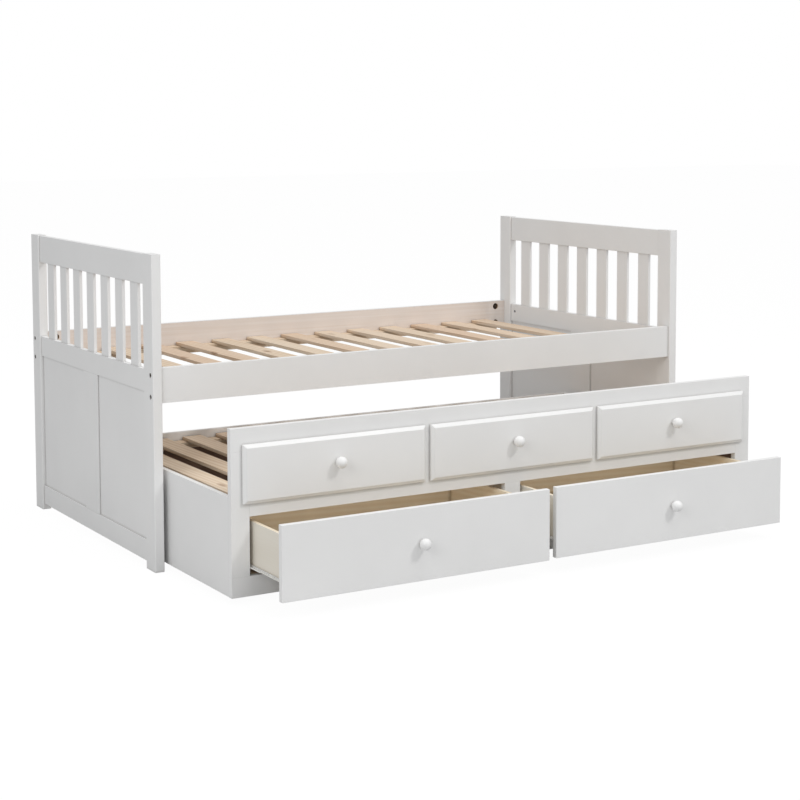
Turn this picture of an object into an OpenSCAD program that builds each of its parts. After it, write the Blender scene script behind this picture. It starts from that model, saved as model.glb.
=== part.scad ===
// Captain's bed with a pull-out trundle on wheels and two drawers.
// X runs along the bed from the head end to the foot end, -Y is the front, +Z is up.
// The origin is on the floor, under the middle of the bed as it stands half open.

/* [Bed frame] */
// Length over the posts
bed_l = 1985; // [1900:5:2100]
// Width over the posts
bed_w = 1060; // [1000:5:1200]
// Height of the posts
post_h = 953; // [900:1:1050]
// Post thickness along the bed
post_t = 30; // [28:1:45]
// Post width across the bed
post_w = 70; // [60:1:90]
// Radius on the long edges of the posts
post_ease = 3; // [1:0.5:5]
// How far rails and panels stand back from the post faces
rail_inset = 6; // [4:1:8]
// Height of the top rail of each end
top_rail_h = 91; // [70:1:120]
// Drop from the post tops to the top rail
top_drop = 2; // [0:1:10]
// Underside of the middle rail of each end
mid_rail_z = 537; // [500:1:560]
// Height of the middle rail of each end
mid_rail_h = 67; // [50:1:90]
// Underside of the bottom rail of each end
foot_gap = 19; // [10:1:40]
// Height of the bottom rail of each end
bottom_rail_h = 65; // [50:1:90]
// Number of vertical spindles in each end
spindle_n = 7; // [5:1:9]
// Width of a spindle
spindle_w = 59; // [40:1:65]
// Thickness of a spindle
spindle_t = 10; // [8:1:14]
// Width of the centre stile below the middle rail
centre_stile_w = 118; // [60:1:140]
// Thickness of the lower panels
panel_t = 6; // [4:1:9]

/* [Side rails and slats] */
// Underside of the side rails
side_rail_z = 508; // [506:1:512]
// Height of the side rails
side_rail_h = 106; // [90:1:120]
// Thickness of the side rails
side_rail_t = 22; // [20:1:26]
// Set-back of the side rails from the post faces
side_rail_inset = 8; // [4:1:12]
// Number of slats
slat_n = 13; // [10:1:14]
// Width of a slat
slat_w = 68; // [50:1:80]
// Thickness of a slat
slat_t = 12; // [10:1:18]
// Distance from one slat to the next
slat_pitch = 141.5; // [110:0.5:142]
// Distance from the head end to the first slat of the bed
first_slat = 98; // [97:1:120]

/* [Trundle] */
// How far the trundle is pulled out
trundle_out = 430; // [0:5:1040]
// Length of the trundle
trundle_l = 1891; // [1880:1:1900]
// Depth of the trundle
trundle_d = 1028; // [1000:1:1040]
// Top of the trundle front
trundle_top = 496; // [480:1:500]
// Gap from the floor to the trundle
trundle_gap = 18; // [10:1:25]
// Thickness of the trundle front frame
frame_t = 20; // [18:1:24]
// Width of the outer stiles of the front frame
stile_w = 57; // [50:1:62]
// Top of the bottom rail of the front frame
opening_low = 75.5; // [74:0.5:78]
// Top of the drawer openings
opening_top = 244.5; // [242:0.5:248]
// Height of the side panels and the back
tray_top = 303; // [300:1:320]
// Thickness of the side panels and the back
tray_t = 15; // [12:1:18]
// Number of slats in the trundle
tray_slat_n = 15; // [12:1:15]
// Height of the slats' top above the floor
tray_slat_top = 287; // [286:1:290]

/* [Drawers] */
// How far the left drawer is pulled out
left_out = 197; // [0:1:340]
// How far the right drawer is pulled out
right_out = 187; // [0:1:340]
// Length of a drawer front
front_l = 883; // [870:1:890]
// Underside of a drawer front
front_low = 51; // [45:1:60]
// Height of a drawer front
front_h = 213; // [200:1:215]
// Thickness of a drawer front
front_t = 18; // [16:1:20]
// Depth of a drawer box behind its front
box_d = 480; // [400:5:500]
// Underside of the drawer sides
box_low = 103; // [103:1:110]
// Height of the drawer sides
box_h = 124; // [100:1:130]
// Thickness of the drawer sides and back
box_t = 12; // [10:1:14]

/* [False fronts and knobs] */
// Length of a false drawer front
false_l = 595; // [580:1:600]
// Height of a false drawer front
false_h = 168; // [150:1:175]
// Gap between false drawer fronts
false_gap = 19; // [15:1:25]
// Radius of a knob's ball
knob_r = 17; // [14:0.5:19]

/* [Casters] */
// Radius of a caster wheel
wheel_r = 20; // [18:0.5:22]
// Width of a caster wheel
wheel_w = 18; // [14:1:20]

/* [Hidden] */

// Half the bed's length, and the inner faces of the two ends
bed_x = bed_l/2;
inner_x = bed_x - post_t;

// Where the panels lie in the rails of the ends
panel_x = post_t/2 - panel_t/2;
groove_play = 0.4;
tongue = 5;
groove_d = 5.5;
end_inner_w = bed_w - 2*post_w;
top_rail_z = post_h - top_drop - top_rail_h;
mid_rail_top = mid_rail_z + mid_rail_h;
bottom_rail_top = foot_gap + bottom_rail_h;
spindle_gap = (end_inner_w - spindle_n*spindle_w)/(spindle_n + 1);
tenon = 7.5;
mortise_d = 8;
mortise_play = 0.4;
peg_hole_r = 5;
peg_hole_d = 12;
peg_hole_edge = 26;
peg_hole_z = 576;

// Bed bolts: through each post into the end of a side rail
bolt_r = 4;
bolt_play = 0.4;
bolt_head_r = 6.5;
bolt_head_h = 7;
bolt_socket_r = 3.4;
bolt_socket_d = 4;
counterbore_r = 7.5;
counterbore_d = 9;
bolt_zs = [528, 593];
pocket_r = 12.2;
pocket_x = 42;
pocket_d = 18;
bolt_tip = 8;
nut_r = 7.5;
nut_h = 6.5;
washer_play = 0.3;
rail_mid_y = side_rail_inset + side_rail_t/2;

// Ledges under the slats of the bed
ledge_w = 45;
ledge_h = 25;
ledge_end = 66;
slat_play = 2;
side_rail_in_y = side_rail_inset + side_rail_t;
deck_low = side_rail_z + ledge_h;

// The trundle's faces
tray_x = trundle_l/2;
face_y = -trundle_out;
frame_back_y = face_y + frame_t;
tray_back_y = face_y + trundle_d;
back_in_y = tray_back_y - tray_t;
opening_x = tray_x - stile_w;
centre_half = 28;
top_rail_low = 430;
mid_rail_high = 300;
false_z = 282;
false_pitch = false_l + false_gap;
tray_slat_low = tray_slat_top - slat_t;
tray_ledge_h = 20;
tray_first_slat = 56;
tray_pitch = (trundle_l - 2*tray_first_slat - slat_w)/(tray_slat_n - 1);

// Boards that carry the runners and the casters
base_w = 80;
base_low = 58;
base_t = 18;
base_centre_w = 120;
runner_board_t = 18;
runner_board_h = 74;
runner_board_l = 520;

// Drawer runners, drawn beside the left edge of an opening
runner_l = 450;
runner_back = 2;
sheet_t = 1.2;
run_gap = 0.3;
roller_r = 8;
roller_w = 6;
roller_x = 1.8;
roller_z = 90;
roller_inset = 14;
roller_pin_r = 2.5;
roller_play = 0.05;
runner_w = 10.3;
side_gap = 12.5;
fixed_low = roller_z - roller_r - run_gap - sheet_t;
fixed_high = roller_z + roller_r + run_gap + sheet_t + 0.5;
box_x0 = -opening_x + side_gap;
box_x1 = -centre_half - side_gap;
bottom_t = 5;
bottom_up = 8;
box_groove_d = 6;
box_play = 0.2;
close_gap = 0.5;

// Knobs
knob_neck_r = 8;
knob_neck_l = 9;
knob_reach = 21;
false_knob_z = 375;
drawer_knob_z = 160;

// Casters
caster_x = tray_x - tray_t - 40;
caster_inset = 90;
axle_r = 3;
axle_play = 0.05;
fork_t = 2;
fork_w = 24;
fork_gap = 1;
plate_t = 2;
plate_w = 46;
plate_l = 60;
wheel_hub_r = 9;
wheel_groove = 1;

// Shift that puts the origin under the middle of the half-open bed
front_reach = trundle_out + close_gap + left_out + front_t + knob_reach + knob_r;
origin_y = (front_reach - bed_w)/2;

pine = [0.83, 0.70, 0.53];
paint = [0.93, 0.93, 0.92];
ply = [0.87, 0.83, 0.73];
steel = [0.25, 0.24, 0.23];
enamel = [0.90, 0.90, 0.88];
nylon = [0.88, 0.87, 0.82];

// ---------- helpers ----------

// A board between two corners
module board(low, high) {
    translate(low)
        cube(high - low);
}

// Moves the bed frame's own coordinates to the part's origin
module placed() {
    translate([0, origin_y, 0])
        children();
}

// Draws a piece of an end: x is counted inwards from the outer face of its posts
module at_end(foot) {
    placed()
        mirror([foot ? 1 : 0, 0, 0])
            translate([-bed_x, 0, 0])
                children();
}

// A rectangle with rounded corners
module eased_rect(w, h, r) {
    translate([r, 0])
        square([w - 2*r, h]);
    translate([0, r])
        square([w, h - 2*r]);
    for (x = [r, w - r], y = [r, h - r])
        translate([x, y])
            circle(r = r, $fn = 32);
}

// A cylinder along X that starts at x
module rod_x(x, y, z, r, l, sides = 48) {
    translate([x, y, z])
        rotate([0, 90, 0])
            cylinder(r = r, h = l, $fn = sides);
}

// ---------- the two ends ----------

// Bolt holes of a post, with counterbores for the heads
module post_holes() {
    for (z = bolt_zs) {
        rod_x(-1, rail_mid_y, z, bolt_r + bolt_play, post_t + 2);
        rod_x(-1, rail_mid_y, z, counterbore_r, counterbore_d + 1);
    }
}

// A post; the panel groove is in its inner side
module post(back) {
    color(paint)
        translate([0, back ? bed_w : 0, 0])
            mirror([0, back ? 1 : 0, 0])
                difference() {
                    linear_extrude(post_h)
                        eased_rect(post_t, post_w, post_ease);
                    post_holes();
                    translate([panel_x - groove_play/2, post_w - groove_d, bottom_rail_top - groove_d])
                        cube([panel_t + groove_play, groove_d + 1,
                              mid_rail_z - bottom_rail_top + 2*groove_d]);
                }
}

// A rail between the posts of an end, standing back from their faces
module end_rail(z0, z1) {
    board([rail_inset, post_w, z0], [post_t - rail_inset, bed_w - post_w, z1]);
}

// Mortises for the spindles, cut into the rail face at height z
module mortises(z) {
    for (i = [0 : spindle_n - 1])
        translate([post_t/2 - (spindle_t + mortise_play)/2,
                   post_w + spindle_gap + i*(spindle_w + spindle_gap) - mortise_play/2, z])
            cube([spindle_t + mortise_play, spindle_w + mortise_play, mortise_d + 1]);
}

// A panel groove along the whole rail at height z
module rail_groove(z) {
    translate([panel_x - groove_play/2, post_w - 1, z])
        cube([panel_t + groove_play, end_inner_w + 2, groove_d + 1]);
}

module top_rail() {
    color(paint)
        difference() {
            end_rail(top_rail_z, top_rail_z + top_rail_h);
            mortises(top_rail_z - 1);
        }
}

module spindles() {
    color(paint)
        for (i = [0 : spindle_n - 1])
            translate([post_t/2 - spindle_t/2,
                       post_w + spindle_gap + i*(spindle_w + spindle_gap), mid_rail_top - tenon])
                cube([spindle_t, spindle_w, top_rail_z - mid_rail_top + 2*tenon]);
}

module mid_rail() {
    color(paint)
        difference() {
            end_rail(mid_rail_z, mid_rail_top);
            mortises(mid_rail_top - mortise_d);
            rail_groove(mid_rail_z - 1);
            for (y = [post_w + peg_hole_edge, bed_w - post_w - peg_hole_edge])
                rod_x(post_t - rail_inset - peg_hole_d, y, peg_hole_z, peg_hole_r, peg_hole_d + 1);
        }
}

module bottom_rail() {
    color(paint)
        difference() {
            end_rail(foot_gap, bottom_rail_top);
            rail_groove(bottom_rail_top - groove_d);
        }
}

module centre_stile() {
    y0 = bed_w/2 - centre_stile_w/2;
    color(paint)
        difference() {
            board([rail_inset, y0, bottom_rail_top],
                  [post_t - rail_inset, y0 + centre_stile_w, mid_rail_z]);
            for (y = [y0 - 1, y0 + centre_stile_w - groove_d])
                translate([panel_x - groove_play/2, y, bottom_rail_top - 1])
                    cube([panel_t + groove_play, groove_d + 1, mid_rail_z - bottom_rail_top + 2]);
        }
}

// The two lower panels, with their edges in the grooves
module panels() {
    y0 = post_w - tongue;
    y1 = bed_w/2 - centre_stile_w/2 + tongue;
    color(paint)
        for (y = [y0, bed_w - y1])
            translate([panel_x, y, bottom_rail_top - tongue])
                cube([panel_t, y1 - y0, mid_rail_z - bottom_rail_top + 2*tongue]);
}

module head_post_front() { at_end(false) post(false); }
module head_post_back() { at_end(false) post(true); }
module head_top_rail() { at_end(false) top_rail(); }
module head_spindles() { at_end(false) spindles(); }
module head_mid_rail() { at_end(false) mid_rail(); }
module head_centre_stile() { at_end(false) centre_stile(); }
module head_panels() { at_end(false) panels(); }
module head_bottom_rail() { at_end(false) bottom_rail(); }
module foot_post_front() { at_end(true) post(false); }
module foot_post_back() { at_end(true) post(true); }
module foot_top_rail() { at_end(true) top_rail(); }
module foot_spindles() { at_end(true) spindles(); }
module foot_mid_rail() { at_end(true) mid_rail(); }
module foot_centre_stile() { at_end(true) centre_stile(); }
module foot_panels() { at_end(true) panels(); }
module foot_bottom_rail() { at_end(true) bottom_rail(); }

// ---------- side rails, slats and bolts ----------

// Draws a piece of the front or back side: y is counted inwards from the post faces
module at_side(back) {
    placed()
        translate([0, back ? bed_w : 0, 0])
            mirror([0, back ? 1 : 0, 0])
                children();
}

// A side rail with a bolt hole and a nut pocket for each bed bolt
module side_rail() {
    color(paint)
        difference() {
            board([-inner_x, side_rail_inset, side_rail_z],
                  [inner_x, side_rail_in_y, side_rail_z + side_rail_h]);
            for (z = bolt_zs) {
                rod_x(-inner_x - 1, rail_mid_y, z, bolt_r + bolt_play, pocket_x + bolt_tip + 6);
                rod_x(inner_x - pocket_x - bolt_tip - 5, rail_mid_y, z, bolt_r + bolt_play,
                      pocket_x + bolt_tip + 6);
                for (x = [-inner_x + pocket_x, inner_x - pocket_x])
                    translate([x, side_rail_in_y - pocket_d, z])
                        rotate([-90, 0, 0])
                            cylinder(r = pocket_r, h = pocket_d + 1, $fn = 64);
            }
        }
}

module side_rail_front() { at_side(false) side_rail(); }
module side_rail_back() { at_side(true) side_rail(); }

// The two ledges that the slats of the bed lie on
module slat_ledges() {
    for (back = [false, true])
        color(pine)
            at_side(back)
                board([-inner_x + ledge_end, side_rail_in_y, side_rail_z],
                      [inner_x - ledge_end, side_rail_in_y + ledge_w, deck_low]);
}

// A row of slats between two lines across the bed
module slat_row(n, x0, pitch, y0, y1, z) {
    color(pine)
        placed()
            for (i = [0 : n - 1])
                board([x0 + i*pitch, y0, z], [x0 + i*pitch + slat_w, y1, z + slat_t]);
}

module bed_slats() {
    slat_row(slat_n, -bed_x + first_slat, slat_pitch, side_rail_in_y + slat_play,
             bed_w - side_rail_in_y - slat_play, deck_low);
}

// Draws a piece at each of the eight bed bolts; x is counted inwards from the post's outer face
module at_bolts() {
    for (foot = [false, true], back = [false, true], z = bolt_zs)
        at_end(foot)
            translate([0, back ? bed_w - rail_mid_y : rail_mid_y, z])
                mirror([0, back ? 1 : 0, 0])
                    children();
}

module bed_bolts() {
    color(steel)
        at_bolts()
            difference() {
                union() {
                    rod_x(counterbore_d - bolt_head_h, 0, 0, bolt_head_r, bolt_head_h);
                    rod_x(counterbore_d - 1, 0, 0, bolt_r,
                          post_t + pocket_x + bolt_tip - counterbore_d + 1);
                }
                rod_x(counterbore_d - bolt_head_h - 1, 0, 0, bolt_socket_r, bolt_socket_d + 1, 6);
            }
}

// A hexagon nut and a half-moon washer in each pocket
module bolt_nuts() {
    half_w = pocket_d/2 - 1;
    color(steel)
        at_bolts()
            difference() {
                union() {
                    intersection() {
                        translate([post_t + pocket_x, -half_w + 2, 0])
                            rotate([-90, 0, 0])
                                cylinder(r = pocket_r - washer_play, h = 2*half_w - 4, $fn = 64);
                        board([post_t + pocket_x - pocket_r, -pocket_r, -pocket_r],
                              [post_t + pocket_x - 3, pocket_r, pocket_r]);
                    }
                    rod_x(post_t + pocket_x - 2.8, 0, 0, nut_r, nut_h, 6);
                }
                rod_x(post_t, 0, 0, bolt_r + 0.1, 2*pocket_x);
            }
}

// ---------- front frame of the trundle ----------

module face_top_rail() {
    color(paint) placed()
        board([-tray_x, face_y, top_rail_low], [tray_x, frame_back_y, trundle_top]);
}

module face_mid_rail() {
    color(paint) placed()
        board([-opening_x, face_y, opening_top], [opening_x, frame_back_y, mid_rail_high]);
}

module face_bottom_rail() {
    color(paint) placed()
        board([-tray_x, face_y, trundle_gap], [tray_x, frame_back_y, opening_low]);
}

module face_outer_stiles() {
    color(paint) placed()
        for (x = [-tray_x, opening_x])
            board([x, face_y, opening_low], [x + stile_w, frame_back_y, top_rail_low]);
}

// The stile between the drawers, and two short ones behind the gaps of the false fronts
module face_inner_stiles() {
    color(paint) placed() {
        board([-centre_half, face_y, opening_low], [centre_half, frame_back_y, opening_top]);
        for (x = [-false_pitch/2, false_pitch/2])
            board([x - centre_half, face_y, mid_rail_high],
                  [x + centre_half, frame_back_y, top_rail_low]);
    }
}

// A slab whose front has sloping edges and a raised field; it stands on its back, front to -Y
module raised_slab(l, h) {
    edge_t = 9;
    slope_w = 8;
    slope_t = 5;
    step = 2;
    depth = edge_t + slope_t + step;
    intersection() {
        rotate([90, 0, 90])
            linear_extrude(l)
                polygon([[0, 0], [-edge_t, 0], [-edge_t - slope_t, slope_w], [-depth, slope_w + 1],
                         [-depth, h - slope_w - 1], [-edge_t - slope_t, h - slope_w], [-edge_t, h], [0, h]]);
        linear_extrude(h)
            polygon([[0, 0], [0, -edge_t], [slope_w, -edge_t - slope_t], [slope_w + 1, -depth],
                     [l - slope_w - 1, -depth], [l - slope_w, -edge_t - slope_t], [l, -edge_t], [l, 0]]);
    }
}

module false_front(i) {
    color(paint) placed()
        translate([i*false_pitch - false_l/2, face_y, false_z])
            raised_slab(false_l, false_h);
}

module false_front_left() { false_front(-1); }
module false_front_middle() { false_front(0); }
module false_front_right() { false_front(1); }

// A round knob that stands out to -Y from the point given
module knob(at) {
    translate(at)
        rotate([90, 0, 0])
            rotate_extrude($fn = 64)
                intersection() {
                    union() {
                        square([knob_neck_r, knob_neck_l]);
                        translate([0, knob_reach])
                            circle(r = knob_r, $fn = 64);
                    }
                    square([knob_r + 1, knob_reach + knob_r + 1]);
                }
}

// Knobs of the false fronts stand on their raised fields
module false_front_knobs() {
    color(paint) placed()
        for (i = [-1 : 1])
            knob([i*false_pitch, face_y - 16, false_knob_z]);
}

// ---------- tray of the trundle ----------

module tray_side(x) {
    color(paint) placed()
        board([x, frame_back_y, trundle_gap], [x + tray_t, tray_back_y, tray_top]);
}

module tray_side_left() { tray_side(-tray_x); }
module tray_side_right() { tray_side(tray_x - tray_t); }

module tray_back() {
    color(paint) placed()
        board([-tray_x + tray_t, back_in_y, trundle_gap], [tray_x - tray_t, tray_back_y, tray_top]);
}

module tray_ledges() {
    color(pine) placed()
        for (y = [frame_back_y, back_in_y - ledge_w])
            board([-tray_x + tray_t, y, tray_slat_low - tray_ledge_h],
                  [tray_x - tray_t, y + ledge_w, tray_slat_low]);
}

module tray_slats() {
    slat_row(tray_slat_n, -tray_x + tray_first_slat, tray_pitch, frame_back_y + slat_play,
             back_in_y - slat_play, tray_slat_low);
}

// Flat boards under the tray that carry the casters and the runner boards
module base_boards() {
    color(pine) placed()
        for (x = [[-tray_x + tray_t, base_w], [-base_centre_w/2, base_centre_w],
                  [tray_x - tray_t - base_w, base_w]])
            board([x[0], frame_back_y, base_low], [x[0] + x[1], back_in_y, base_low + base_t]);
}

// Draws a piece at the outer edge of each opening and its mirror image at the inner edge
module at_opening_edges(left) {
    placed()
        mirror([left ? 0 : 1, 0, 0]) {
            translate([-opening_x, 0, 0])
                children();
            translate([-centre_half, 0, 0])
                mirror([1, 0, 0])
                    children();
        }
}

module runner_boards() {
    z0 = base_low + base_t;
    color(pine)
        for (left = [true, false])
            at_opening_edges(left)
                board([-runner_board_t, frame_back_y, z0],
                      [0, frame_back_y + runner_board_l, z0 + runner_board_h]);
}

// ---------- drawer runners ----------

// The rail on a runner board: a web, a track below and a short lip above
module fixed_runner() {
    y0 = frame_back_y + runner_back;
    board([0, y0, fixed_low], [sheet_t, y0 + runner_l, fixed_high + sheet_t]);
    board([0, y0, fixed_low], [runner_w, y0 + runner_l, fixed_low + sheet_t]);
    board([0, y0, fixed_high], [sheet_t + 4, y0 + runner_l, fixed_high + sheet_t]);
    rod_x(0, y0 + roller_inset, roller_z, roller_pin_r, roller_x + roller_w);
}

module fixed_runners() {
    color(enamel)
        for (left = [true, false])
            at_opening_edges(left)
                fixed_runner();
}

// The rail under a drawer side, with a pin for its rear roller
module drawer_runner(y0) {
    flange_z = roller_z + roller_r + run_gap;
    web_x = runner_w - sheet_t - run_gap;
    end_y = y0 + runner_l;
    board([roller_x, y0, flange_z], [web_x, end_y, flange_z + sheet_t]);
    board([web_x, y0, flange_z], [web_x + sheet_t, end_y, box_low]);
    board([web_x, y0, box_low - sheet_t], [side_gap + box_t, end_y, box_low]);
    board([web_x, end_y - 2*roller_inset, roller_z - roller_inset/2],
          [web_x + sheet_t, end_y, flange_z + sheet_t]);
    rod_x(roller_x, end_y - roller_inset, roller_z, roller_pin_r, web_x - roller_x);
}

// A roller with a bore for its pin
module roller(y) {
    difference() {
        rod_x(roller_x + 0.2, y, roller_z, roller_r, roller_w - 0.4);
        rod_x(roller_x - 1, y, roller_z, roller_pin_r + roller_play, roller_w + 2);
    }
}

module front_rollers(left) {
    color(nylon)
        at_opening_edges(left)
            roller(frame_back_y + runner_back + roller_inset);
}

// ---------- drawers ----------

// Front face of a closed drawer front is one thickness and a small gap ahead of the frame
function drawer_y(out) = face_y - close_gap - out;

module drawer_front(left, out) {
    color(paint) placed()
        mirror([left ? 0 : 1, 0, 0])
            translate([-(opening_x + 10), drawer_y(out), front_low])
                rotate([90, 0, 0])
                    linear_extrude(front_t)
                        eased_rect(front_l, front_h, 2);
}

// Grooves for the bottom, cut into a drawer side
module bottom_groove(x, y, l) {
    translate([x, y, box_low + bottom_up])
        cube([box_groove_d + 1, l, bottom_t + box_play]);
}

module drawer_sides(left, out) {
    y = drawer_y(out);
    color(ply) placed()
        mirror([left ? 0 : 1, 0, 0])
            difference() {
                for (x = [box_x0, box_x1 - box_t])
                    board([x, y, box_low], [x + box_t, y + box_d, box_low + box_h]);
                bottom_groove(box_x0 + box_t - box_groove_d, y - 1, box_d + 2);
                bottom_groove(box_x1 - box_t - 1, y - 1, box_d + 2);
            }
}

module drawer_back(left, out) {
    y = drawer_y(out);
    color(ply) placed()
        mirror([left ? 0 : 1, 0, 0])
            board([box_x0 + box_t, y + box_d - box_t, box_low + bottom_up + bottom_t + box_play],
                  [box_x1 - box_t, y + box_d, box_low + box_h]);
}

module drawer_bottom(left, out) {
    y = drawer_y(out);
    reach = box_groove_d - 0.5;
    color(ply) placed()
        mirror([left ? 0 : 1, 0, 0])
            board([box_x0 + box_t - reach, y, box_low + bottom_up + box_play/2],
                  [box_x1 - box_t + reach, y + box_d, box_low + bottom_up + bottom_t + box_play/2]);
}

module drawer_runners(left, out) {
    color(enamel)
        at_opening_edges(left)
            drawer_runner(drawer_y(out));
}

module rear_rollers(left, out) {
    color(nylon)
        at_opening_edges(left)
            roller(drawer_y(out) + runner_l - roller_inset);
}

module drawer_knob(left, out) {
    x = opening_x + 10 - front_l/2;
    color(paint) placed()
        knob([left ? -x : x, drawer_y(out) - front_t, drawer_knob_z]);
}

module left_drawer_front() { drawer_front(true, left_out); }
module left_drawer_sides() { drawer_sides(true, left_out); }
module left_drawer_back() { drawer_back(true, left_out); }
module left_drawer_bottom() { drawer_bottom(true, left_out); }
module left_drawer_runners() { drawer_runners(true, left_out); }
module left_front_rollers() { front_rollers(true); }
module left_rear_rollers() { rear_rollers(true, left_out); }
module left_drawer_knob() { drawer_knob(true, left_out); }
module right_drawer_front() { drawer_front(false, right_out); }
module right_drawer_sides() { drawer_sides(false, right_out); }
module right_drawer_back() { drawer_back(false, right_out); }
module right_drawer_bottom() { drawer_bottom(false, right_out); }
module right_drawer_runners() { drawer_runners(false, right_out); }
module right_front_rollers() { front_rollers(false); }
module right_rear_rollers() { rear_rollers(false, right_out); }
module right_drawer_knob() { drawer_knob(false, right_out); }

// ---------- casters ----------

// Draws a piece at one caster; the axle runs along X through the wheel's middle
module at_caster(right, rear) {
    placed()
        translate([right ? caster_x : -caster_x,
                   rear ? back_in_y - caster_inset : frame_back_y + caster_inset, wheel_r])
            children();
}

module caster_bracket() {
    half = wheel_w/2 + fork_gap;
    top = base_low - wheel_r;
    board([-plate_w/2, -plate_l/2, top - plate_t], [plate_w/2, plate_l/2, top]);
    for (x = [-half - fork_t, half])
        board([x, -fork_w/2, -axle_r - 4], [x + fork_t, fork_w/2, top - plate_t]);
    rod_x(-half - fork_t - 1, 0, 0, axle_r, 2*(half + fork_t + 1));
}

module caster_brackets() {
    color(steel)
        for (right = [false, true], rear = [false, true])
            at_caster(right, rear)
                caster_bracket();
}

// A wheel with shallow recesses round its hub
module wheel() {
    color(nylon)
        difference() {
            rod_x(-wheel_w/2, 0, 0, wheel_r, wheel_w, 96);
            rod_x(-wheel_w/2 - 1, 0, 0, axle_r + axle_play, wheel_w + 2);
            for (x = [-wheel_w/2 - 1, wheel_w/2 - wheel_groove])
                difference() {
                    rod_x(x, 0, 0, wheel_r - 4, wheel_groove + 1, 96);
                    rod_x(x - 1, 0, 0, wheel_hub_r, wheel_groove + 3);
                }
        }
}

module wheel_front_left() { at_caster(false, false) wheel(); }
module wheel_front_right() { at_caster(true, false) wheel(); }
module wheel_rear_left() { at_caster(false, true) wheel(); }
module wheel_rear_right() { at_caster(true, true) wheel(); }

head_post_front();
head_post_back();
head_top_rail();
head_spindles();
head_mid_rail();
head_centre_stile();
head_panels();
head_bottom_rail();
foot_post_front();
foot_post_back();
foot_top_rail();
foot_spindles();
foot_mid_rail();
foot_centre_stile();
foot_panels();
foot_bottom_rail();
side_rail_front();
side_rail_back();
slat_ledges();
bed_slats();
bed_bolts();
bolt_nuts();
face_top_rail();
face_mid_rail();
face_bottom_rail();
face_outer_stiles();
face_inner_stiles();
false_front_left();
false_front_middle();
false_front_right();
false_front_knobs();
tray_side_left();
tray_side_right();
tray_back();
tray_ledges();
tray_slats();
base_boards();
runner_boards();
fixed_runners();
caster_brackets();
wheel_front_left();
wheel_front_right();
wheel_rear_left();
wheel_rear_right();
left_drawer_front();
left_drawer_sides();
left_drawer_back();
left_drawer_bottom();
left_drawer_runners();
left_front_rollers();
left_rear_rollers();
left_drawer_knob();
right_drawer_front();
right_drawer_sides();
right_drawer_back();
right_drawer_bottom();
right_drawer_runners();
right_front_rollers();
right_rear_rollers();
right_drawer_knob();
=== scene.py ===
"""Looks of the trundle bed: materials, eased edges, studio light and camera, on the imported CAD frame."""

import math

import bmesh
import bpy
from mathutils import Matrix, Vector


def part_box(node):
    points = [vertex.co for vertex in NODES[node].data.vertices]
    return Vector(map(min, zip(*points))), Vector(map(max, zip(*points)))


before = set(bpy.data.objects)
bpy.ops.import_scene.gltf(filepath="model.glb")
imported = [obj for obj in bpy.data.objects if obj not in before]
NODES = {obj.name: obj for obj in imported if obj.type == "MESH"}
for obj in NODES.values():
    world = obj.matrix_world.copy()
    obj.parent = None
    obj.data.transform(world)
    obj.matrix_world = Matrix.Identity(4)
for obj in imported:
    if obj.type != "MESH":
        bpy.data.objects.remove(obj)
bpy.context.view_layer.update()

X, Y, Z = 0, 1, 2


# ---------- node helpers ----------


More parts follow.
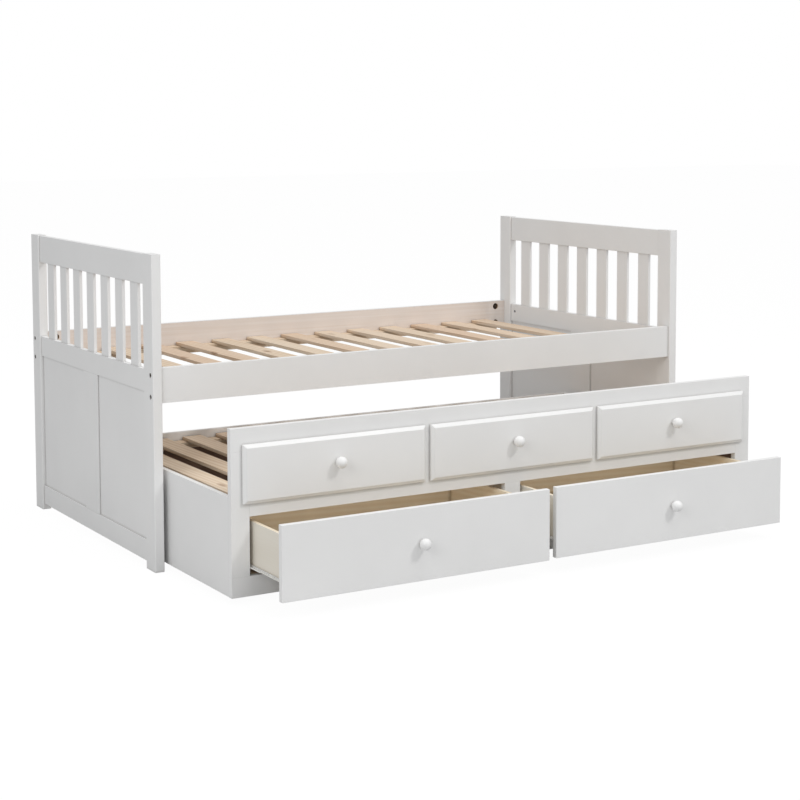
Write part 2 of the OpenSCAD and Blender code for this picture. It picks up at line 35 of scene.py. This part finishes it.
class Graph:
    """A material's node tree, with short calls for the nodes used here."""

    def __init__(self, name):
        self.material = bpy.data.materials.new(name)
        self.material.use_nodes = True
        self.tree = self.material.node_tree
        self.shader = self.tree.nodes["Principled BSDF"]
        self.coords = self.tree.nodes.new("ShaderNodeTexCoord")

    def link(self, a, b):
        self.tree.links.new(a, b)

    def math(self, op, a, b=0.0, c=None):
        n = self.tree.nodes.new("ShaderNodeMath")
        n.operation = op
        for i, v in enumerate((a, b) if c is None else (a, b, c)):
            if isinstance(v, (int, float)):
                n.inputs[i].default_value = v
            else:
                self.link(v, n.inputs[i])
        return n.outputs[0]

    def scaled(self, scale=(1, 1, 1), vector=None, offset=(0, 0, 0)):
        """The object's own coordinates in metres, or another vector, stretched along the axes."""
        n = self.tree.nodes.new("ShaderNodeMapping")
        n.inputs["Scale"].default_value = scale
        n.inputs["Location"].default_value = offset
        self.link(vector or self.coords.outputs["Object"], n.inputs["Vector"])
        return n.outputs[0]

    def shifted(self, vector, x, y, z):
        """A vector moved by three node outputs."""
        c = self.tree.nodes.new("ShaderNodeCombineXYZ")
        for i, v in enumerate((x, y, z)):
            self.link(v, c.inputs[i])
        n = self.tree.nodes.new("ShaderNodeVectorMath")
        n.operation = "ADD"
        self.link(vector, n.inputs[0])
        self.link(c.outputs[0], n.inputs[1])
        return n.outputs[0]

    def xyz(self):
        """The object's own coordinates, one output for each axis."""
        n = self.tree.nodes.new("ShaderNodeSeparateXYZ")
        self.link(self.coords.outputs["Object"], n.inputs[0])
        return n.outputs

    def depth(self, axis, lo, hi):
        """How far inside a box a point lies, from the nearer of the two sides across one axis."""
        p = self.xyz()[axis]
        return self.math("MINIMUM", self.math("SUBTRACT", p, lo[axis]), self.math("SUBTRACT", hi[axis], p))

    def within(self, lo, hi, inset):
        """1 inside a box drawn in by an inset, 0 on its faces and outside."""
        nearest = self.depth(X, lo, hi)
        for axis in (Y, Z):
            nearest = self.math("MINIMUM", nearest, self.depth(axis, lo, hi))
        return self.math("GREATER_THAN", nearest, inset)

    def noise(self, vector, scale=1.0, detail=3.0, rough=0.55, distort=0.0):
        n = self.tree.nodes.new("ShaderNodeTexNoise")
        n.inputs["Scale"].default_value = scale
        n.inputs["Detail"].default_value = detail
        n.inputs["Roughness"].default_value = rough
        n.inputs["Distortion"].default_value = distort
        self.link(vector, n.inputs["Vector"])
        return n.outputs["Fac"]

    def white(self, value):
        """A value from 0 to 1 that is the same for one number and unlike that of the next."""
        n = self.tree.nodes.new("ShaderNodeTexWhiteNoise")
        n.noise_dimensions = "1D"
        self.link(value, n.inputs["W"])
        return n.outputs["Value"]

    def ramp(self, fac, stops):
        n = self.tree.nodes.new("ShaderNodeValToRGB")
        el = n.color_ramp.elements
        while len(el) < len(stops):
            el.new(0.5)
        for e, (pos, col) in zip(el, stops):
            e.position = pos
            e.color = (*col, 1.0)
        self.link(fac, n.inputs["Fac"])
        return n.outputs["Color"]

    def level(self, fac, lo, hi, out_lo=0.0, out_hi=1.0):
        """A value that goes from out_lo to out_hi as the input goes from lo to hi."""
        n = self.tree.nodes.new("ShaderNodeMapRange")
        n.inputs["From Min"].default_value = lo
        n.inputs["From Max"].default_value = hi
        n.inputs["To Min"].default_value = out_lo
        n.inputs["To Max"].default_value = out_hi
        self.link(fac, n.inputs["Value"])
        return n.outputs["Result"]

    def mix(self, fac, a, b):
        """From a to b, each a colour or a node output."""
        n = self.tree.nodes.new("ShaderNodeMix")
        n.data_type = "RGBA"
        self.link(fac, n.inputs[0])
        for socket, v in ((n.inputs[6], a), (n.inputs[7], b)):
            if isinstance(v, tuple):
                socket.default_value = (*v, 1.0)
            else:
                self.link(v, socket)
        return n.outputs[2]

    def painted_corner_shade(self, reach, depth):
        """Painted shade: rises from 0 to depth where two surfaces meet in a corner, within the reach, read
        from an ambient-occlusion node.
        """
        n = self.tree.nodes.new("ShaderNodeAmbientOcclusion")
        n.samples = 6
        n.inputs["Distance"].default_value = reach
        return self.level(n.outputs["AO"], 0.35, 0.96, depth, 0.0)

    def bump(self, height, strength, distance, under=None):
        n = self.tree.nodes.new("ShaderNodeBump")
        n.inputs["Strength"].default_value = strength
        n.inputs["Distance"].default_value = distance
        self.link(height, n.inputs["Height"])
        if under is not None:
            self.link(under, n.inputs["Normal"])
        return n.outputs["Normal"]

    def finish(self, colour, rough, normal, **fixed):
        """Links the shader's inputs. The fixed ones are plain numbers, set on its own sockets."""
        for name, v in (("Base Color", colour), ("Roughness", rough), ("Normal", normal)):
            self.link(v, self.shader.inputs[name])
        for name, v in fixed.items():
            self.shader.inputs[name.replace("_", " ")].default_value = v
        return self.material


def along(axis, fine, coarse):
    """Scales that stretch a pattern along one axis."""
    return tuple(coarse if i == axis else fine for i in range(3))


# ---------- materials ----------

WHITE = (0.86, 0.86, 0.855)
BRIGHTEST = 0.93
GRAIN_TINT = (0.62, 0.60, 0.57)
# Painted shade in the corners and recesses of the paint: the colour it darkens towards, how far it reaches
# and how deep it goes.
CORNER_SHADE_COLOUR = (0.36, 0.345, 0.33)
CORNER_REACH, CORNER_DEPTH = 0.009, 0.46
SKIN = 0.0016
FACE_TOLERANCE = 0.0015
# Pairs of colours between which the figure of the wood goes.
RAW = ((0.42, 0.26, 0.13), (0.58, 0.40, 0.22))
# Near-black painted shade for the inside of the peg holes.
SHADED = ((0.02, 0.015, 0.012), (0.035, 0.026, 0.02))
# Darker, warmer pinkish tan for the side rails' inner faces: painted shade with warm light bounced off the
# pine.
INNER_SHADE_FRONT = ((0.80, 0.74, 0.69), (0.74, 0.66, 0.59))
INNER_SHADE_BACK = ((0.82, 0.76, 0.72), (0.77, 0.69, 0.63))
# Dark brown painted shade for the trundle's inner faces under its slats, where little light reaches.
UNDER_SLAT_SHADE = ((0.26, 0.17, 0.125), (0.20, 0.125, 0.09))


def painted(name, axis, seed=0.0, drilled=None, hole_wood_or_shade=RAW, shaded_face=None):
    """White satin lacquer on wood: the grain shows faintly as relief, and the coat varies a little.

    drilled is a node whose holes are coloured inside in the pair given after it: raw wood for the pockets
    in the side rails, near-black painted shade for the peg holes. The last argument is what
    inner_face gives: the face that lies there, up to that height, takes its pair of colours, which is
    painted shade; on the side rails it is warm, as if lit by light bounced off the pine.
    """
    g = Graph(name)
    here = g.scaled(offset=(seed, seed * 0.7, seed * 1.3))
    cloud = g.noise(here, 3.1, 3.0)
    grain = g.noise(g.scaled(along(axis, 230, 6), here), 1.0, 4.0, 0.6, 0.4)
    specks = g.noise(here, 620.0, 2.0, 0.5)
    low = tuple(c * 0.975 for c in WHITE)
    high = tuple(min(c * 1.018, BRIGHTEST) for c in WHITE)
    base = g.mix(g.level(cloud, 0.3, 0.7), low, high)
    base = g.mix(g.level(grain, 0.62, 0.80, 0.0, 0.05), base, GRAIN_TINT)
    # Painted shade darkens the paint where two surfaces meet in a corner.
    base = g.mix(g.painted_corner_shade(CORNER_REACH, CORNER_DEPTH), base, CORNER_SHADE_COLOUR)
    # Painted shade on one inner face, up to a height, with the figure of the wood in it.
    if shaded_face:
        across, place, top, colours = shaded_face
        p = g.xyz()
        face = g.math("COMPARE", p[across], place, FACE_TOLERANCE)
        face = g.math("MULTIPLY", face, g.math("LESS_THAN", p[Z], top))
        figure = g.noise(g.scaled(along(axis, 90, 1.6), here), 1.0, 4.0, 0.6, 0.8)
        base = g.mix(face, base, g.mix(g.level(figure, 0.35, 0.68), *colours))
    # Holes get raw wood inside, or near-black painted shade for the peg holes.
    if drilled:
        inside = g.within(*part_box(drilled), SKIN)
        base = g.mix(inside, base, g.mix(g.level(grain, 0.3, 0.7), *hole_wood_or_shade))
    rough = g.level(g.noise(here, 14.0, 4.0), 0.3, 0.7, 0.36, 0.46)
    coat = g.bump(specks, 0.10, 0.0004)
    return g.finish(base, rough, g.bump(grain, 0.16, 0.0005, coat), Specular_IOR_Level=0.45)


ALL_OF_IT = 9.0


def inner_face(node, axis, end, colours, top=ALL_OF_IT):
    """The face at one end of a node's box along an axis, 0 the lower and 1 the upper, up to a height."""
    return axis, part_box(node)[end][axis], top, colours


PINE = (
    (0.10, (0.59, 0.42, 0.275)),
    (0.45, (0.70, 0.55, 0.40)),
    (0.72, (0.76, 0.63, 0.49)),
    (1.0, (0.83, 0.725, 0.595)),
)
PLY = ((0.10, (0.78, 0.665, 0.50)), (0.5, (0.84, 0.735, 0.57)), (1.0, (0.88, 0.80, 0.66)))
KNOT = (0.27, 0.13, 0.055)
WARM_BOARD = (0.66, 0.44, 0.31)
PALE_BOARD = (0.86, 0.78, 0.64)
# Paler colours for the two outermost faces of a drawer side, the fibre in them, and how near to those
# faces the paler colour reaches.
OUTER_PALE = ((0.80, 0.755, 0.665), (0.86, 0.825, 0.745))
OUTER_PALE_FIBRE = (0.70, 0.61, 0.48)
OUTER_PALE_SKIN = 0.0012
# Painted shade in the corners of the wood: the colour it darkens towards, how far it reaches and how deep
# it goes.
WOOD_CORNER_SHADE = (0.20, 0.12, 0.06)
WOOD_REACH, WOOD_DEPTH = 0.012, 0.55


def rings(g, here, axis):
    """Growth rings drawn out along a board."""
    n = g.tree.nodes.new("ShaderNodeTexWave")
    n.wave_type = "BANDS"
    n.bands_direction = "DIAGONAL"
    n.inputs["Scale"].default_value = 1.0
    n.inputs["Distortion"].default_value = 5.5
    n.inputs["Detail"].default_value = 3.0
    n.inputs["Detail Scale"].default_value = 0.6
    g.link(g.scaled(along(axis, 34, 1.4), here), n.inputs["Vector"])
    return n.outputs["Fac"]


def knots_of(g, here, axis):
    """1 in the middle of each knot, 0 away from it."""
    n = g.tree.nodes.new("ShaderNodeTexVoronoi")
    n.inputs["Scale"].default_value = 1.0
    g.link(g.scaled(along(axis, 10.5, 4.2), here), n.inputs["Vector"])
    return g.level(n.outputs["Distance"], 0.055, 0.15, 1.0, 0.0)


def timber(
    name, axis, stops, row=None, knots=True, rough=(0.55, 0.72), strength=0.3, seed=0.0, faced=None
):
    """Planed softwood: long rings drawn out along the board, knots, and each board its own colour.

    row is (first, pitch): the boards of a row along X are told apart by where they lie. faced is a
    node whose two outermost faces along X are paler than the rest of it.
    """
    g = Graph(name)
    here = g.scaled(offset=(seed, seed, seed))
    if row:
        first, pitch = row
        n = g.math("FLOOR", g.math("DIVIDE", g.math("SUBTRACT", g.xyz()[X], first), pitch))
        own = g.white(g.math("ADD", n, 3.7 + seed))
        own2 = g.white(g.math("ADD", n, 61.3 + seed))
        here = g.shifted(
            here, g.math("MULTIPLY", own, 7.0), g.math("MULTIPLY", own2, 9.0), g.math("MULTIPLY", own, 5.0)
        )
    warp = g.noise(g.scaled(along(axis, 9, 1.1), here), 1.0, 2.0, 0.5)
    fibre = g.noise(g.scaled(along(axis, 640, 9), here), 1.0, 4.0, 0.65)
    tone = g.math("ADD", g.math("MULTIPLY", rings(g, here, axis), 0.46), g.math("MULTIPLY", warp, 0.44))
    tone = g.math("ADD", tone, g.math("MULTIPLY", fibre, 0.22))
    colour = g.ramp(tone, stops)
    if knots:
        colour = g.mix(g.math("MULTIPLY", knots_of(g, here, axis), 0.72), colour, KNOT)
    if row:
        colour = g.mix(g.level(own, 0.0, 1.0, 0.0, 0.42), colour, WARM_BOARD)
        colour = g.mix(g.level(own2, 0.0, 1.0, 0.0, 0.36), colour, PALE_BOARD)
    # The two outermost faces along X are paler than the inside of the box.
    if faced:
        pale_outside = g.mix(g.level(warp, 0.3, 0.7), *OUTER_PALE)
        pale_outside = g.mix(g.level(fibre, 0.3, 0.75, 0.0, 0.16), pale_outside, OUTER_PALE_FIBRE)
        inside = g.math("GREATER_THAN", g.depth(X, *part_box(faced)), OUTER_PALE_SKIN)
        colour = g.mix(inside, pale_outside, colour)
    # Painted shade darkens the wood where two surfaces meet in a corner.
    colour = g.mix(g.painted_corner_shade(WOOD_REACH, WOOD_DEPTH), colour, WOOD_CORNER_SHADE)
    sheen = g.level(fibre, 0.2, 0.8, *rough)
    return g.finish(colour, sheen, g.bump(fibre, strength, 0.0004), Specular_IOR_Level=0.3)


def plywood(name, axis, seed, faced=None):
    """Smooth, pale plywood without knots."""
    return timber(name, axis, PLY, knots=False, rough=(0.45, 0.6), strength=0.15, seed=seed, faced=faced)


def metal(name, colour, rough, metallic=1.0):
    """Plated or blackened steel with a fine uneven grain."""
    g = Graph(name)
    here = g.scaled()
    blot = g.noise(here, 90.0, 4.0, 0.6)
    fine = g.noise(here, 1080.0, 2.0, 0.5)
    dark = tuple(c * 0.78 for c in colour)
    base = g.mix(g.level(blot, 0.3, 0.7), dark, colour)
    sheen = g.level(fine, 0.2, 0.8, rough * 0.8, rough * 1.25)
    return g.finish(base, sheen, g.bump(fine, 0.12, 0.0002), Metallic=metallic)


def moulded(name, colour, rough):
    """Moulded nylon with a fine satin texture."""
    g = Graph(name)
    here = g.scaled()
    base = g.mix(g.level(g.noise(here, 60.0, 3.0), 0.3, 0.7), tuple(c * 0.93 for c in colour), colour)
    fine = g.noise(here, 1500.0, 2.0, 0.5)
    sheen = g.level(fine, 0.2, 0.8, rough * 0.85, rough * 1.15)
    return g.finish(base, sheen, g.bump(fine, 0.15, 0.0002), Specular_IOR_Level=0.4)


SLAT_WIDTH = 0.068
SLAT_MARGIN = 0.01


def row_of(node, count):
    """Where a row of slats starts, and its pitch, for telling its slats apart."""
    lo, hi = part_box(node)
    return lo[X] - SLAT_MARGIN, (hi[X] - lo[X] - SLAT_WIDTH) / (count - 1)


BED_SLATS, TRAY_SLATS = 13, 15
TRAY_SLAT_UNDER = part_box("tray_slats")[0][Z]

MATERIALS = {
    "paint_x": painted("white_paint_x", X),
    "face": painted("white_paint_face", X, 2.6),
    # The inner faces of the side rails carry painted shade, warm as if lit by light bounced off the pine.
    "rail_front": painted("white_paint_rail_front", X, 1.7, "side_rail_front",
                          shaded_face=inner_face("side_rail_front", Y, 1, INNER_SHADE_FRONT)),
    "rail_back": painted("white_paint_rail_back", X, 3.1, "side_rail_back",
                         shaded_face=inner_face("side_rail_back", Y, 0, INNER_SHADE_BACK)),
    # The trundle's inner faces below its slats carry dark brown painted shade.
    "tray_back": painted("white_paint_tray_back", X, 4.4,
                         shaded_face=inner_face("tray_back", Y, 0, UNDER_SLAT_SHADE, TRAY_SLAT_UNDER)),
    "tray_left": painted("white_paint_tray_left", Y, 7.3,
                         shaded_face=inner_face("tray_side_left", X, 1, UNDER_SLAT_SHADE, TRAY_SLAT_UNDER)),
    "tray_right": painted("white_paint_tray_right", Y, 8.2,
                          shaded_face=inner_face("tray_side_right", X, 0, UNDER_SLAT_SHADE, TRAY_SLAT_UNDER)),
    # The mid rails' peg holes are near-black inside: painted shade.
    "mid_head": painted("white_paint_mid_head", Y, 5.2, "head_mid_rail", SHADED),
    "mid_foot": painted("white_paint_mid_foot", Y, 6.4, "foot_mid_rail", SHADED),
    "paint_y": painted("white_paint_y", Y, 4.3),
    "paint_z": painted("white_paint_z", Z, 9.1),
    "bed_pine": timber("pine_bed_slats", Y, PINE, row_of("bed_slats", BED_SLATS)),
    "tray_pine": timber("pine_trundle_slats", Y, PINE, row_of("tray_slats", TRAY_SLATS), seed=21.0),
    "pine_x": timber("pine_ledges", X, PINE, seed=5.0),
    "pine_y": timber("pine_boards", Y, PINE, seed=8.0),
    "ply_x": plywood("plywood_x", X, 2.0),
    "ply_left": plywood("plywood_left", Y, 6.0, faced="left_drawer_sides"),
    "ply_right": plywood("plywood_right", Y, 7.0, faced="right_drawer_sides"),
    "steel": metal("black_steel", (0.085, 0.062, 0.045), 0.5, metallic=0.5),
    "zinc": metal("zinc_plate", (0.62, 0.63, 0.65), 0.38),
    "enamel": metal("white_enamel", (0.82, 0.82, 0.80), 0.35, metallic=0.0),
    "nylon": moulded("nylon", (0.74, 0.73, 0.68), 0.5),
}

# How far the edges of each material are rounded, in metres.
EASE = {
    "steel": 0.0004,
    "zinc": 0.0004,
    "enamel": 0.0003,
    "nylon": 0.0006,
    "bed_pine": 0.0016,
    "tray_pine": 0.0016,
    "pine_x": 0.0010,
    "pine_y": 0.0010,
    "ply_x": 0.0006,
    "ply_left": 0.0010,
    "ply_right": 0.0010,
    "paint_x": 0.0014,
    "paint_y": 0.0014,
    "paint_z": 0.0012,
    "face": 0.0005,
    "rail_front": 0.0014,
    "rail_back": 0.0014,
    "mid_head": 0.0012,
    "mid_foot": 0.0012,
    "tray_back": 0.0014,
    "tray_left": 0.0014,
    "tray_right": 0.0014,
}

# The nodes that wear a material of their own.
OWN = {
    "bed_bolts": "steel",
    "bolt_nuts": "steel",
    "caster_brackets": "zinc",
    "fixed_runners": "enamel",
    "bed_slats": "bed_pine",
    "tray_slats": "tray_pine",
    "slat_ledges": "pine_x",
    "tray_ledges": "pine_x",
    "base_boards": "pine_y",
    "runner_boards": "pine_y",
    "left_drawer_sides": "ply_left",
    "right_drawer_sides": "ply_right",
    "side_rail_front": "rail_front",
    "side_rail_back": "rail_back",
    "tray_back": "tray_back",
    "tray_side_left": "tray_left",
    "tray_side_right": "tray_right",
    "head_mid_rail": "mid_head",
    "foot_mid_rail": "mid_foot",
}


def finish_of(node):
    """The material that a CAD node wears."""
    if node in OWN:
        return OWN[node]
    if "wheel" in node or "roller" in node:
        return "nylon"
    if node.endswith("drawer_runners"):
        return "enamel"
    if node.endswith(("drawer_back", "drawer_bottom")):
        return "ply_x"
    if node.startswith("face_"):
        return "face"
    if "post" in node or "stile" in node or "spindles" in node or node.endswith("_panels"):
        return "paint_z"
    if node.startswith(("head_", "foot_")):
        return "paint_y"
    return "paint_x"


def ease(obj, width):
    """Rounds the long edges of a node, as sanding and paint do."""
    weld = obj.modifiers.new("weld", "WELD")
    weld.merge_threshold = 0.00002
    clean = obj.modifiers.new("clean", "DECIMATE")
    clean.decimate_type = "DISSOLVE"
    clean.angle_limit = math.radians(0.5)
    bevel = obj.modifiers.new("ease", "BEVEL")
    bevel.width = width
    bevel.segments = 2
    bevel.limit_method = "ANGLE"
    bevel.angle_limit = math.radians(40)
    bevel.use_clamp_overlap = True
    shade = obj.modifiers.new("shade", "WEIGHTED_NORMAL")
    shade.keep_sharp = False
    shade.weight = 90


for name, obj in NODES.items():
    kind = finish_of(name)
    obj.data.materials.clear()
    obj.data.materials.append(MATERIALS[kind])
    obj.data.polygons.foreach_set("use_smooth", [True] * len(obj.data.polygons))
    ease(obj, EASE[kind])


# ---------- studio ----------

FLOOR_SIDE = 60
FLOOR_Z, BOUNCE_Z = -0.0005, -0.001
DOME_RADIUS = 42
WORLD_COLOUR, WORLD_STRENGTH = (0.985, 0.99, 1.0, 1), 0.512
# Name, place, target, side in metres, power in watts, colour.
LIGHTS = (
    ("key", (3.4, -6.3, 6.95), (0, -0.3, 0.4), 1.6, 205, (1.0, 0.995, 0.99)),
    ("fill", (-6.0, -3.5, 3.5), (0, 0, 0.4), 3.5, 111, (1, 1, 1)),
    ("top", (0.3, -1.2, 6.5), (0, 0, 0), 4.5, 143, (1.0, 0.997, 0.99)),
)


def glow(name, strength, grey):
    """A matt grey studio surface that may give off its own light, to photograph as an even white."""
    look = bpy.data.materials.new(name)
    look.use_nodes = True
    shader = look.node_tree.nodes["Principled BSDF"]
    shader.inputs["Base Color"].default_value = (grey, grey, grey, 1)
    shader.inputs["Roughness"].default_value = 0.9
    shader.inputs["Specular IOR Level"].default_value = 0.0
    shader.inputs["Emission Color"].default_value = (1, 1, 1, 1)
    shader.inputs["Emission Strength"].default_value = strength
    return look


def stand(name, mesh, material, seen):
    """A piece of the studio.

    One that is seen lights nothing. One that isn't is hidden from the camera, and bounces light.
    """
    obj = bpy.data.objects.new(name, mesh)
    bpy.context.scene.collection.objects.link(obj)
    obj.data.materials.append(material)
    obj.visible_camera = seen
    for ray in ("diffuse", "glossy", "transmission", "volume_scatter", "shadow"):
        setattr(obj, "visible_" + ray, not seen)


def plane(name, z):
    mesh = bpy.data.meshes.new(name)
    h = FLOOR_SIDE / 2
    mesh.from_pydata([(-h, -h, z), (h, -h, z), (h, h, z), (-h, h, z)], [], [(0, 1, 2, 3)])
    return mesh


def dome(name):
    mesh = bpy.data.meshes.new(name)
    shape = bmesh.new()
    bmesh.ops.create_icosphere(shape, subdivisions=3, radius=DOME_RADIUS)
    shape.to_mesh(mesh)
    shape.free()
    return mesh


def area(name, place, target, side, power, colour):
    data = bpy.data.lights.new(name, "AREA")
    data.shape = "RECTANGLE"
    data.size = data.size_y = side
    data.energy = power
    data.color = colour
    obj = bpy.data.objects.new(name, data)
    bpy.context.scene.collection.objects.link(obj)
    obj.location = place
    obj.rotation_euler = (Vector(target) - Vector(place)).to_track_quat("-Z", "Y").to_euler()


stand("floor", plane("floor", FLOOR_Z), glow("white_floor", 0.965, 0.05), seen=True)
stand("floor_bounce", plane("floor_bounce", BOUNCE_Z), glow("grey_floor", 0.0, 0.57), seen=False)
stand("backdrop", dome("backdrop"), glow("white_backdrop", 1.0, 0.0), seen=True)

world = bpy.data.worlds.new("studio")
world.use_nodes = True
back = world.node_tree.nodes["Background"]
back.inputs["Color"].default_value = WORLD_COLOUR
back.inputs["Strength"].default_value = WORLD_STRENGTH
bpy.context.scene.world = world

for light in LIGHTS:
    area(*light)

bpy.context.scene.view_settings.view_transform = "Standard"
bpy.context.scene.view_settings.look = "None"

# ---------- camera ----------

SENSOR, LENS = 36, 78.96
SHIFT_X, SHIFT_Y = 0.0205, -0.1692
FAR_CLIP = 100
AZIMUTH, ELEVATION, ROLL = (math.radians(angle) for angle in (-30.33, 4.92, -0.19))
# From the floor under the outer corner of the head end's front post, in metres.
FROM_CORNER = (-2.00422, -4.77848, 1.36373)

post_lo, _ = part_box("head_post_front")
place = Vector((post_lo[X], post_lo[Y], 0.0)) + Vector(FROM_CORNER)
level = math.cos(ELEVATION)
behind = Vector((math.sin(AZIMUTH) * level, -math.cos(AZIMUTH) * level, math.sin(ELEVATION)))
right = Vector((0, 0, 1)).cross(behind).normalized()
up = behind.cross(right)
turned = right * math.cos(ROLL) + up * math.sin(ROLL)
raised = -right * math.sin(ROLL) + up * math.cos(ROLL)
camera_data = bpy.data.cameras.new("camera")
camera_data.sensor_width = SENSOR
camera_data.lens = LENS
camera_data.shift_x = SHIFT_X
camera_data.shift_y = SHIFT_Y
camera_data.clip_end = FAR_CLIP
camera = bpy.data.objects.new("camera", camera_data)
bpy.context.scene.collection.objects.link(camera)
camera.matrix_world = Matrix.Translation(place) @ Matrix((turned, raised, behind)).transposed().to_4x4()
bpy.context.scene.camera = camera
